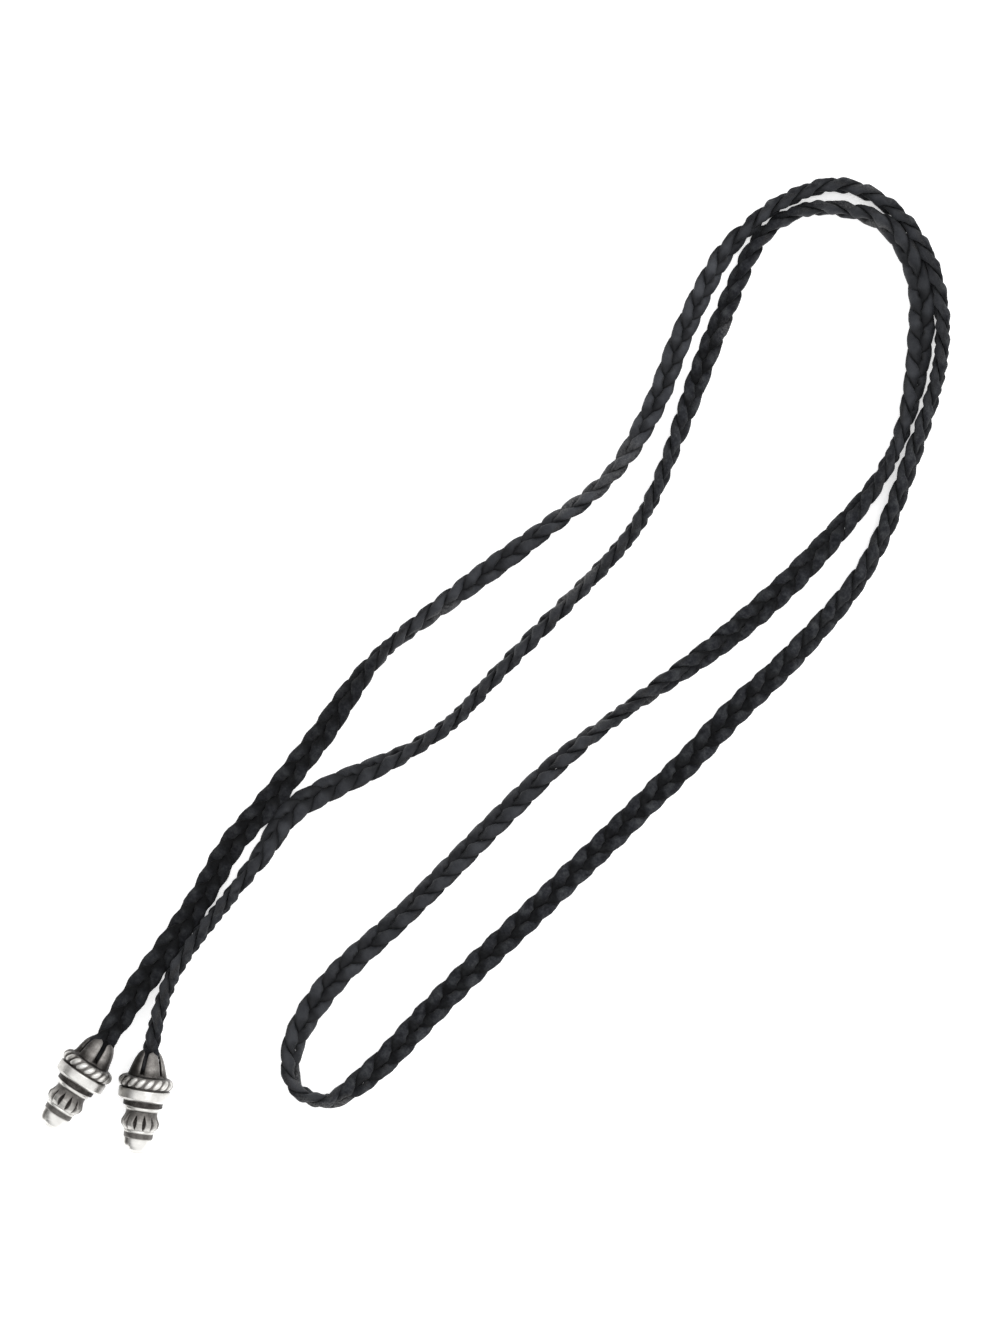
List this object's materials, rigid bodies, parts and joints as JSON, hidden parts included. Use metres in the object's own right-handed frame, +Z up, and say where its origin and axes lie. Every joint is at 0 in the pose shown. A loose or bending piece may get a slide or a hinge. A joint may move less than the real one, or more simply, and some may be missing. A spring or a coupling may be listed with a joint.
{
  "type": "braided leather lariat necklace",
  "caption": "Flat-plaited black leather lariat neck cord with an oxidised cast silver cap on each free end, lying doubled on a level surface.",
  "frame": {"origin": "middle of the lying necklace's outline, on the surface that it lies on", "axes": "+Z up from the surface, +Y from the capped ends towards the top bend"},
  "size_m": [0.0765, 0.2784, 0.0123],
  "materials": {
    "leather": "matte black lace, smooth grain face and suede back",
    "silver": "cast silver, oxidised dark in the recesses, polished on the high spots"
  },
  "bodies": {
    "root": {"strand_1": "leather", "strand_2": "leather", "strand_3": "leather", "end_cap_a": "silver", "end_cap_b": "silver"}
  },
  "joints": []
}
